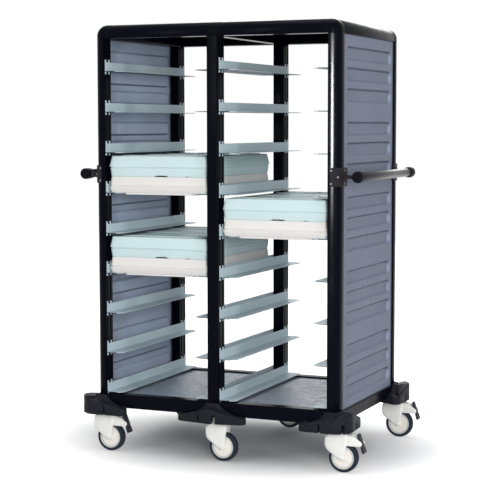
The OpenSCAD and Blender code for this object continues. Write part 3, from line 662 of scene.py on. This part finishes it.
# %% Corner caps
def corner_cap():
    """The section carried along the front arm, a quarter turn of radius corner_r and the side arm."""
    section, out = front_section
    edge = edged(0, 1, seam_edge)[:4, 0]
    inset = face_y - section[:, 0]
    reach, held = np.maximum(corner_r - inset, 0), np.maximum(inset, corner_r)
    rows = []
    for shrink in edge:
        across, up = (section - shrink * out).T
        rows.append((arm_start + seam_edge - shrink, across, up))
    for angle in np.linspace(np.pi / 2, 0, 25):
        x, y = side_x - held + reach * np.cos(angle), face_y - held + reach * np.sin(angle)
        rows.append((x, y, section[:, 1]))
    for shrink in edge[::-1]:
        across, up = (section - shrink * out).T
        rows.append((side_x - face_y + across, rail_start + seam_edge - shrink, up))
    return skin(np.array([np.stack(np.broadcast_arrays(*row), -1) for row in rows]))


dress("corner_caps", repeated([corner_cap()]), cap_black, ["top_corner_caps"])
for node in ("top_middle_rail", "base_cross_rails", "base_rail_front", "base_rail_back"):
    repaint(node, powder_black)
repaint("roof_sheet", roof_black)

# %% [markdown]
# ## Side panels
# A side panel is one thin sheet, pressed inwards along fifteen bands with round ends. That is a depth over a
# flat grid, worked out from the distance to the nearest band's centre line. The grid is finer where the
# bands' walls are, and a Solidify modifier gives the sheet its thickness.

# %% Where the bands are
panel_low, panel_high = corners("side_panel_right")
panel_face, panel_t = panel_high[0], 0.003
press_depth = 0.0095
band_h, band_wall = 0.050, 0.009
top_gap, end_gap = 0.037, 0.028
group_pitch, band_pitch = 0.248, 0.069
first_band_z = rail_z - top_gap - band_h / 2
band_zs = np.array([first_band_z - i * group_pitch - j * band_pitch for i in range(5) for j in range(3)])
band_half_l = post_in_y - end_gap
hem_w, hem_depth = 0.012, 0.0012
print("bands", len(band_zs))


# %% Pressed side panels
def smooth(value):
    """Rises from 0 to 1 with level ends as value goes from 0 to 1."""
    value = np.clip(value, 0, 1)
    return value * value * (3 - 2 * value)


def spaced(low, high, step, places, near, fine):
    """Sorted values from low to high, closer together within near of the given places."""
    coarse = np.arange(low, high, step)
    close = [np.arange(p - near, p + near, fine) for p in places]
    values = np.concatenate([coarse, *close, [low, high]])
    return np.unique(np.round(values[(values >= low) & (values <= high)], 5))


wall_zs = np.concatenate([band_zs - band_h / 2, band_zs + band_h / 2])
wall_ys = (-band_half_l + band_h / 4, band_half_l - band_h / 4)
zs = spaced(panel_low[2], panel_high[2], 0.009, wall_zs, near=0.012, fine=0.0024)
ys = spaced(panel_low[1], panel_high[1], 0.02, wall_ys, near=0.026, fine=0.0026)
grid_y, grid_z = np.meshgrid(ys, zs, indexing="ij")
off_y = np.maximum(np.abs(grid_y) - (band_half_l - band_h / 2), 0)
off_z = np.abs(grid_z[..., None] - band_zs).min(-1)
depth = smooth((band_h / 2 - np.hypot(off_y, off_z)) / band_wall)
hem = smooth((hem_w - (post_in_y - np.abs(grid_y))) / (hem_w / 2))
sheet = np.stack([panel_face - press_depth * depth - hem_depth * hem, grid_y, grid_z], -1)

for column, sx in column_signs.items():
    surface = mirrored(skin(sheet, ring=False, ends=False), sx)
    panel = dress(f"pressed_{column}_panel", [surface], panel_grey, [f"side_panel_{column}"],
                  crease=60)
    if panel.data.polygons[0].normal.x * sx < 0:
        panel.data.flip_normals()
    thickness = panel.modifiers.new("sheet", "SOLIDIFY")
    thickness.thickness = panel_t
shines_on("panel_ends", ["pressed_left_panel", "pressed_right_panel"])

# %% [markdown]
# ## Floor
# The floor is a grey sheet with low ridges that run from front to back. Its section is a row of soft waves,
# and one straight pull along the cart makes the sheet. The ridges end a little before the rails.

# %% Ridged floor
floor_low, floor_high = corners("floor_sheets")
ridge_pitch, ridge_h, ridge_margin = 0.012, 0.001, 0.024
sheet_top = floor_high[2] - ridge_h


def ridged_floor():
    """Height = sheet plus a raised cosine for each ridge, inside a flat margin."""
    xs = np.arange(mid_x, post_in_x + 1e-9, 0.001)
    wave = 0.5 - 0.5 * np.cos(2 * np.pi * (xs - mid_x) / ridge_pitch)
    margin = smooth((xs - mid_x) / ridge_margin) * smooth((post_in_x - xs) / ridge_margin)
    half = np.array([0, 0.008, 0.014, floor_high[1]]) - floor_high[1]
    share = np.array([0, 0, 1, 1, 1, 1, 0, 0])
    grid_x, grid_y = np.meshgrid(xs, np.concatenate([half, -half[::-1]]))
    upper = np.stack([grid_x, grid_y, sheet_top + share[:, None] * ridge_h * wave * margin], -1)
    lower = upper[:, ::-1] * (1, 1, 0) + (0, 0, floor_low[2])
    return skin(np.concatenate([upper, lower], 1))


def side_strip():
    """Flat strip from the ridges out to the side panel, between the two posts."""
    outline = rectangle((post_in_x, -post_in_y), (panel_face - panel_t, post_in_y), 0.001, 16)
    return pulled(outline, edged(floor_low[2], sheet_top, 0.0004, 2))


floor_parts = repeated([ridged_floor(), side_strip()], both_sides)
dress("ridged_floor", floor_parts, floor_grey, ["floor_sheets"], crease=50)

# %% [markdown]
# ## Tray slides
# The slides are bent from sheet and powder coated. The CAD model has their flanges, webs, bends and hooks at
# full size, so these nodes keep their shape and only take their finish.

# %% Slides
for node in ("slides_left_outer", "slides_left_inner", "slides_right_inner", "slides_right_outer"):
    repaint(node, slide_green)

# %% [markdown]
# ## Bumpers
# A bumper is moulded round a post's foot. Its wall is low at the wings' tips and higher near the caster.
# From its round lip the top rises in a hollow curve to a collar, blended from outline to outline. Booleans
# take out the frame's room, the notch and the slits.

# %% Moulded bumpers
(_, _, bumper_z), (bumper_side, bumper_front, collar_z) = corners("corner_bumpers")
stem_inset = 0.017
stem_x, stem_y = side_x - stem_inset, face_y - stem_inset
wall_low, wall_high, side_rise = 0.023, 0.050, 0.013
fall_start, fall_l = 0.072, 0.054
lip_r, collar_h, collar_margin = 0.005, 0.006, 0.006
notch_w, slit_w, slit_offset, slit_start = 0.013, 0.008, 0.034, 0.023
notch_top = bumper_z + 0.031
tip_r, tip_setback, corner_round = 0.020, 0.005, 0.060
wing_front_x, wing_side_y = side_x - 0.128, face_y - 0.120
neck_r, neck_top = 0.012, bumper_z + 0.0165


def bumper(outer, collar, stem):
    """Upright wall, round lip, then blends from the outer band to the collar's band with a hollow rise.

    The wall is wall_high near the stem, wall_low at the tips, and higher by side_rise beside the cart.
    """
    points, out = outer
    distance = np.linalg.norm(points - np.array(stem), axis=1)
    high = wall_high + side_rise * smooth((points[:, 0] - side_x) / 0.025)
    lip_z = bumper_z + high - (high - wall_low) * smooth((distance - fall_start) / fall_l)
    foot = carried(outer, [(0.003, bumper_z), (0.001, bumper_z + 0.001), (0, bumper_z + 0.003)])
    rows = [np.column_stack([points - lip_r * (1 - across) * out, lip_z - lip_r * (1 - up)])
            for across, up in quarter(0, 0, 1, 0, 6)]
    for share in np.linspace(0, 1, 15)[1:]:
        flat = (1 - share) * (points - lip_r * out) + share * collar[0]
        rise = (collar_z - collar_h - lip_z) * (0.08 * share + 0.92 * share ** 2.6)
        rows.append(np.column_stack([flat, lip_z + rise]))
    top = carried(collar, [(0.0003, collar_z - 0.002), (0.002, collar_z)])
    return skin(np.concatenate([foot, np.array(rows), top]))


def block(low, high):
    """A plain closed block, for cutting."""
    return pulled(rectangle(low[:2], high[:2], 1e-4, 16), [(0, low[2]), (0, high[2])])


def slot(place, width, degrees):
    """A cutter for an upright slot with a round top: along +Y from the Z axis, then swung to its place."""
    outline = rounds([(0, bumper_z - 0.05, width / 2), (0, notch_top - width / 2, width / 2)], 32)
    return swung(pulled(outline, [(0, 0), (0, 0.2)], "y"), degrees, (*place, 0))


def bumper_group(name, outer, collar, stem, cutters, signs):
    """Cuts one bumper, then copies it to its places."""
    made = solid(name, [bumper(outer, collar, stem)])
    frame_fill = block((-side_x, -face_y, base_z), (side_x, face_y, 1.0))
    neck_pocket = turned([(neck_r, bumper_z - 0.01), (neck_r, neck_top)], stem)
    combine(made, [frame_fill, neck_pocket, *cutters])
    copies = repeated([softened(made, 0.0007)], signs)
    dress(f"moulded_{name}", copies, charcoal, [name])


def collar_band(left, right, radii):
    """The collar's band round a post, a little wider than the post."""
    low, high = (left - collar_margin, post_in_y), (right + collar_margin, face_y + collar_margin)
    return rectangle(low, high, radii, 144)


# %% Corner bumpers
tip_reach = tip_r + tip_setback
corner_outline = rounds([(wing_front_x + tip_r, bumper_front - tip_reach, tip_r),
                         (bumper_side - corner_round, bumper_front - corner_round, corner_round),
                         (bumper_side - tip_reach, wing_side_y + tip_r, tip_r),
                         (post_in_x - tip_r, post_in_y, tip_r)], 144)
corner_collar = collar_band(post_in_x, side_x, (0.012, 0.003, 0.003, 0.003))
corner_cuts = [slot((stem_x, stem_y), notch_w, -45),
               slot((stem_x - slit_offset, face_y + slit_start), slit_w, 0),
               slot((side_x + 0.025, stem_y - slit_offset), slit_w, -90)]
bumper_group("corner_bumpers", corner_outline, corner_collar, (stem_x, stem_y), corner_cuts, four_signs)

# %% Middle bumpers
middle_half, middle_front = corners("middle_bumpers")[1][:2]
bulge_r = 0.060
middle_slit_x = slit_offset + 0.004
middle_outline = rounds([(-middle_half + tip_r, face_y + tip_r / 2, tip_r),
                         (middle_half - tip_r, face_y + tip_r / 2, tip_r),
                         (0, middle_front - bulge_r, bulge_r)], 144)
screw_hole = pulled(rounds([(middle_slit_x, bumper_z + 0.017, 0.0052)], 24),
                    [(0, face_y + 0.02), (0, face_y + 0.2)], "y")
middle_cuts = [slot((0, stem_y), notch_w, 18),
               slot((middle_slit_x, face_y + slit_start), 0.004, 0), screw_hole]
bumper_group("middle_bumpers", middle_outline, collar_band(-mid_x, mid_x, 0.006), (0, stem_y),
             middle_cuts, [(1, 1), (-1, -1)])

# %% [markdown]
# ## Push handles
# A handle is a tube between two moulded end caps. Each cap hangs on a short arm from a bracket that wraps
# round the post's corner and is held by five screws. A cap is one turned profile, and the bracket is a sheet
# bent along the post's outline.

# %% Bars and end caps
bar_low, bar_high = corners("handle_bar_right")
bar_r = (bar_high[2] - bar_low[2]) / 2
caps_low, caps_high = corners("handle_end_caps")
cap_r, cap_l, dome_r, bore_r = 0.019, 0.046, 0.007, bar_r - 0.004
bar_x, bar_z = caps_high[0] - cap_r, (caps_low[2] + caps_high[2]) / 2
cap_end, cap_start = caps_high[1], caps_high[1] - cap_l
bar_end, bar_edge = cap_start + 0.012, 0.001

bar_half = [(bar_r, bar_end - bar_edge), (bar_r - 0.0006, bar_end)]
bar_profile = [(radius, -along) for radius, along in bar_half[::-1]] + bar_half
for column, sx in column_signs.items():
    tube = turned(bar_profile, (sx * bar_x, bar_z), "y")
    dress(f"{column}_push_bar", [tube], bronze, [f"handle_bar_{column}"])

bore = [(bore_r, cap_start + 0.02), (bore_r, cap_start)]
collar = mm([(-2.6, 0), (-1.4, 1.4), (-1.4, 9), (-3, 10.5), (-3, 13), (0, 15.5)]) + (cap_r, cap_start)
dome = quarter(cap_r - dome_r, cap_end - dome_r, dome_r, 0, 9)
dent = mm([(10.5, 0), (9.8, -1.1), (0, -1.1)]) + (0, cap_end)
cap_profile = np.concatenate([bore, collar, dome, dent])
end_caps = repeated([turned(cap_profile, (bar_x, bar_z), "y", ends=False)])
dress("moulded_end_caps", end_caps, grip_black, ["handle_end_caps"], crease=40)

# %% Brackets round the posts
bracket_low, bracket_high = corners("handle_brackets")
bracket_h = bracket_high[2] - bracket_low[2]
bracket_t, bracket_r, bracket_edge = 0.005, 0.006, 0.001
bracket_back = 0.074
arm_y = (cap_start + cap_end) / 2
turn_centre = np.array([side_x - corner_r, face_y - corner_r])


def bracket_plate():
    """Sheet along a path over the front face, round the corner and back along the side.

    Its half height shrinks on a quarter circle near both ends of the path.
    """
    front_l = side_x - corner_r - (post_in_x + 2 * bracket_t)
    arc_l = corner_r * np.pi / 2
    total = front_l + arc_l + bracket_back - corner_r
    near = np.linspace(0, bracket_r, 7)
    along = np.unique(np.concatenate([np.linspace(0, total, 60), near, total - near]))
    drop = np.maximum(bracket_r - np.minimum(along, total - along), 0)
    half = bracket_h / 2 - bracket_r + np.sqrt(np.maximum(bracket_r ** 2 - drop ** 2, 0))
    turn = np.clip((along - front_l) / arc_l, 0, 1) * np.pi / 2
    out = np.stack([np.sin(turn), np.cos(turn)], -1)
    foot = turn_centre + corner_r * out
    foot[:, 0] -= np.maximum(front_l - along, 0)
    foot[:, 1] -= np.maximum(along - front_l - arc_l, 0)
    low = [(-1, 0.0), (-1, bracket_t - bracket_edge), (-1 + 2 * bracket_edge / bracket_h, bracket_t)]
    section = low + [(-height, lift) for height, lift in low[::-1]]
    rows = [np.column_stack([foot + lift * out, bar_z + height * half]) for height, lift in section]
    return skin(np.array(rows).transpose(1, 0, 2))


def bracket_arm():
    """Arm from the side plate to the end cap: a squarish oval, thickest at its root and waisted halfway."""
    xs = np.linspace(side_x + 0.001, bar_x - cap_r * 0.55, 12)
    share = (xs - xs[0]) / (xs[-1] - xs[0])
    angle = np.linspace(0, 2 * np.pi, 40, endpoint=False)
    waist = (1 - 0.34 * np.sin(np.pi * share) + 0.25 * (1 - share) ** 4)[:, None]
    y, z = [half * waist * np.sign(wave) * np.abs(wave) ** 0.8
            for half, wave in ((0.0125, np.cos(angle)), (0.0088, np.sin(angle)))]
    return skin(np.stack([np.broadcast_to(xs[:, None], y.shape), arm_y + y, bar_z + z], -1))


boss_rows = mm([(17, 2), (17, 7), (15.5, 8.5), (0, 8.5)]) + (0, side_x)
bracket_boss = turned(boss_rows, (arm_y, bar_z), "x", ends=False)
brackets = repeated([bracket_plate(), bracket_arm(), bracket_boss])
dress("bent_brackets", brackets, bracket_dark, ["handle_brackets"], crease=38)

# %% Bracket screws
screw_z = bracket_h / 2 - 0.009
screw_rows = mm([(3.4, -1), (4, 0.4), (3.6, 1.2), (2.4, 1.9), (1.68, 2.1), (1.52, 1.2), (0, 1)])
screw = turned(screw_rows, (0, 0), "x", 20, ends=False)


def bracket_screws():
    """Two screws over the post's back edge, two near the front face and one halfway round the corner."""
    made = [moved(screw, (side_x + bracket_t, post_in_y + 0.009, bar_z + z)) for z in (-screw_z, screw_z)]
    outer = moved(screw, (corner_r + bracket_t, 0, 0))
    return made + [swung(outer, degrees, (*turn_centre, bar_z + z))
                   for z, degrees in ((-screw_z, 72), (screw_z, 72), (0, 40))]


dress("round_head_screws", repeated(bracket_screws()), screw_steel, ["bracket_screws"])
repaint("caster_stems", screw_steel)

# %% [markdown]
# ## Casters
# A caster's housing is a soft, drop-shaped shell with the wheel in its belly. Its side view, a band round
# three circles, is carried across with a round edge, and its nose is drawn in to a half circle in plan.
# Booleans open the wheel's pocket and the gap for the pedal. The wheels are turned.

# %% Sizes of one caster, about its axle
trail, axle_z, housing_top = 0.034, 0.050, 0.082
cheek, nose_r, nose_x = 0.023, 0.032, -trail - 0.002
plan_x = nose_x - nose_r + cheek
pin = np.array([0.046, 0.050])
lever_half = 0.013
pocket_r, pocket_half = 0.0535, 0.0165
print("trail", trail)


# %% Housings
def pillow(outline, half_width, edge, steps=6):
    """Carries a side view from -half_width to half_width along Y with a round edge on both cheeks."""
    return carried(outline, edged(-half_width, half_width, edge, steps), "y")


def housing_shell():
    """The drop-shaped shell with its nose drawn in: y shrinks with the plan circle in front of plan_x."""
    side = rounds([(nose_x, housing_top - nose_r, nose_r), (-0.003, 0, 0.011), (0.008, 0.072, 0.010)], 120)
    grid = pillow(finer(side, 0.004), cheek, 0.0085, 8)
    ahead = np.clip((plan_x - grid[..., 0]) / cheek, 0, 1)
    grid[..., 1] *= np.sqrt(np.maximum(1 - ahead ** 2, 0.0004))
    return skin(grid)


def housing_piece(name, brake):
    """One housing: shell, arm and neck joined, then the wheel's pocket and the pedal's gap cut out."""
    made = solid(name, [housing_shell()])
    neck = mm([(13.5, -6), (12.5, 0.5), (10, 3), (10, 16.5), (9, 17.8)]) + (0, housing_top)
    joins = [turned(neck, (-trail, 0))]
    cutters = [turned([(pocket_r, -pocket_half), (pocket_r, pocket_half)], (0, 0), "y", 96)]
    if brake:
        arm = rounds([(0.016, 0.060, 0.019), (0.038, 0.0615, 0.0115), (pin[0] + 0.012, pin[1], 0.009)], 96)
        joins.insert(0, skin(pillow(arm, lever_half + 0.006, 0.004)))
        cutters.append(block((pin[0] - 0.018, -lever_half, 0), (0.2, lever_half, 0.2)))
        cutters += [turned([(0.0024, side * pocket_half), (0.0024, side * 0.05)], (0.019, 0.056), "y", 20)
                    for side in (-1, 1)]
    combine(made, joins, "UNION")
    combine(made, cutters)
    return softened(made, 0.0009)


def axle_end(side):
    """Round axle head on a cheek."""
    rows = mm([(6.2, -3), (6.2, -0.2), (5.2, 0.6), (0, 0.6)]) + (0, cheek)
    return turned(rows * (1, side), (-0.0012, 0.0), "y", 32, ends=False)


braked_housing = housing_piece("braked", True)
plain_housing = housing_piece("plain", False)
print("housing points", len(braked_housing[0]), len(plain_housing[0]))


# %% Hub and tyre
def wheel_ring(rows, turns):
    """Turns rows (radius, along) from the wheel's middle to one face, and mirrored for the other face."""
    return turned(np.concatenate([rows, (rows * (1, -1))[::-1]]), (0, 0), "y", turns, ends=False)


hub_shape = wheel_ring(mm([
    (4.2, 0), (4.2, 14.8), (8.5, 14.8), (9.8, 13.8), (10.4, 10.6), (11.4, 10.4), (16.5, 11.2), (17.8, 9.4),
    (18.8, 9.4), (20, 11.6), (29, 12.2), (31.8, 11.6), (32.8, 8.8), (34, 8), (34.6, 8), (34.6, 0)]), 72)
ring_shape = wheel_ring(mm([(34.6, 0), (34.6, 12.2), (35.6, 13.6), (37.2, 13.9), (39, 13.2), (39, 0)]), 96)
shoulder = quarter(0, 0, 1, 0, 7)[::-1] * (4.2, 5.2) + (45.2, 8.8)
tyre_shape = wheel_ring(mm([(39, 0), (39, 13.2), (40.5, 14), (42.5, 14), (43.2, 13.3), (43.9, 14), *shoulder,
                            (49.8, 6.5), (50, 4.5), (50, 0)]), 96)
print("tyre points", len(tyre_shape[0]))

# %% Pedal
pedal_r = 0.0035
pedal_top = np.array([pin[0] + 0.006, housing_top + 0.0015 - pedal_r])
pedal_tip = np.array([0.0745 - pedal_r, pin[1] - 0.028])
pedal_foot = pedal_top + (pedal_tip - pedal_top) * 0.75


def pedal_shapes():
    """Lever, boss and foot plate: bands round circles, carried across the caster with a small edge."""
    half = lever_half - 0.0003
    lever = [(*pedal_top, pedal_r * 0.8), (*pedal_foot, pedal_r)]
    boss = [(*pin, 0.008), (*((pedal_top + pedal_foot) / 2), pedal_r)]
    foot = [(*pedal_foot, pedal_r), (*pedal_tip, pedal_r)]
    plates = [(lever, half, 0.0015, 4), (boss, half, 0.0015, 4), (foot, 0.017, 0.003, 5)]
    pin_rows = [(0.003, -lever_half - 0.005), (0.003, lever_half + 0.005)]
    return [skin(pillow(rounds(circles, 48), *cross)) for circles, *cross in plates] + [
        turned(pin_rows, tuple(pin), "y", 24)]


# %% Casters at their six places
for name, sx, sy in six_places:
    place = (sx * stem_x + trail, sy * stem_y, axle_z)
    shell = braked_housing if sx else plain_housing
    pieces = [("housing", [shell, axle_end(-1), axle_end(1)], caster_white, "housing_white", "swivel", 40),
              ("hub", [hub_shape], hub_cream, "hub_cream", "wheel", 28),
              ("rim_ring", [ring_shape], ring_grey, "hub_cream", "wheel", 28),
              ("tyre", [tyre_shape], tyre_slate, "tyre_slate", "wheel", 40)]
    if sx:
        pieces.append(("pedal", pedal_shapes(), pedal_grey, "pedal_grey", "brake", 32))
    for part, shapes, material, slot_name, body, crease in pieces:
        replaced = [node for node in [f"{part}_{name}"] if node in nodes]
        shapes = [moved(shape, place) for shape in shapes]
        dress(f"{name}_{part}", shapes, material, replaced, f"{body}_{name}", crease)

# %% [markdown]
# ## Insulated trays
# Base and lid are thick moulded shells that narrow at their seam and have a lip with a fine shadow line. One
# profile runs from the floor of the well, over the rim and down the outside. The lid's finger notch is a
# smooth rise of the rim's rows near the middle.

# %% Tray outline and profiles
tray_low, tray_high = corners("tray_base_right")
tray_half = (tray_high[:2] - tray_low[:2]) / 2
tray_centre = (tray_high[:2] + tray_low[:2]) / 2
tray_r = 0.018
base_h, lid_face = 0.056, 0.0715
belly_h, belly_half = 0.006, np.array([0.13525, tray_half[1] - 0.010])
tray_outline = finer(rectangle(-tray_half, tray_half, tray_r, 64), 0.008)
base_rows = mm([(34, 22), (30.5, 22.5), (29, 24.5), (29, 52.5), (28.4, 54.8), (26.2, 56), (10, 56),
                (8, 55.1), (7, 53.2), (3.2, 26.2), (4.6, 25.2), (5.8, 25), (5.8, 22.6), (4.6, 22.4),
                (1, 22), (0, 20.6), (0.8, 17.5), (6.2, 2.2), (7.8, 0.6), (9.8, 0)])
lid_rows = mm([(34, 57), (30.5, 56.5), (29, 54), (29, 3.5), (28.4, 1.2), (26.2, 0), (10, 0), (8, 0.9),
               (7, 2.8), (3.2, 28.6), (4.6, 29.6), (5.8, 29.8), (5.8, 32.4), (4.6, 32.6), (1, 33),
               (0, 34.4), (0.4, 36.8), (8.2, 66.2), (9.2, 69.6), (11.2, 71.1), (13.5, 71.5)])
print("tray", 2 * tray_half)


# %% Bases and lids
def tray_base():
    """Closed base, and the low belly under it that hangs between the slides."""
    belly = [(0, 0.0005), (0, 0.002 - belly_h), (0.0006, 0.0006 - belly_h), (0.002, -belly_h)]
    return [pulled(tray_outline, base_rows), pulled(rectangle(-belly_half, belly_half, tray_r, 64), belly)]


def tray_lid():
    """Closed lid. Two notches: near x, the front rim's rows rise by a height over a half width."""
    grid = carried(tray_outline, lid_rows)
    front_rim = (grid[..., 1] < -tray_half[1] + 0.03) & (grid[..., 2] < 0.005)
    for x, half, rise in ((0.014, 0.024, 0.0042), (0.112, 0.005, 0.003)):
        near = smooth((half + 0.0015 - np.abs(grid[..., 0] - x)) / 0.003)
        grid[..., 2] += np.where(front_rim, rise * near, 0)
    return skin(grid)


def lid_rib(y):
    """A low rounded rib across the lid's top at y: half a band, set into the top face."""
    section = rounds([(y + side * 0.006, lid_face - 0.001, 0.0035) for side in (-1, 1)], 24)
    half = tray_half[0] - 0.028
    return pulled(section, edged(-half, half, 0.003), "x")


base_shape = tray_base()
lid_shape = [tray_lid()] + [lid_rib((2 * share - 1) * tray_half[1]) for share in (0.1, 0.43, 0.76, 0.93)]
for name, sx in (("lower_left", -1), ("upper_left", -1), ("right", 1)):
    seam = np.array([sx * tray_centre[0], tray_centre[1], corners(f"tray_lid_{name}")[0][2]])
    base = [moved(part, seam - (0, 0, base_h)) for part in base_shape]
    dress(f"{name}_base", base, tray_white, [f"tray_base_{name}"], f"tray_{name}", 45)
    lid = [moved(part, seam) for part in lid_shape]
    dress(f"{name}_lid", lid, lid_aqua, [f"tray_lid_{name}"], f"lid_{name}", 45)

# %% [markdown]
# ## The end
# The dressed cart has to fill the same box as the CAD model. The scene is shown in the Standard view
# transform.

# %% The view transform, and the end
bpy.context.scene.view_settings.view_transform = "Standard"
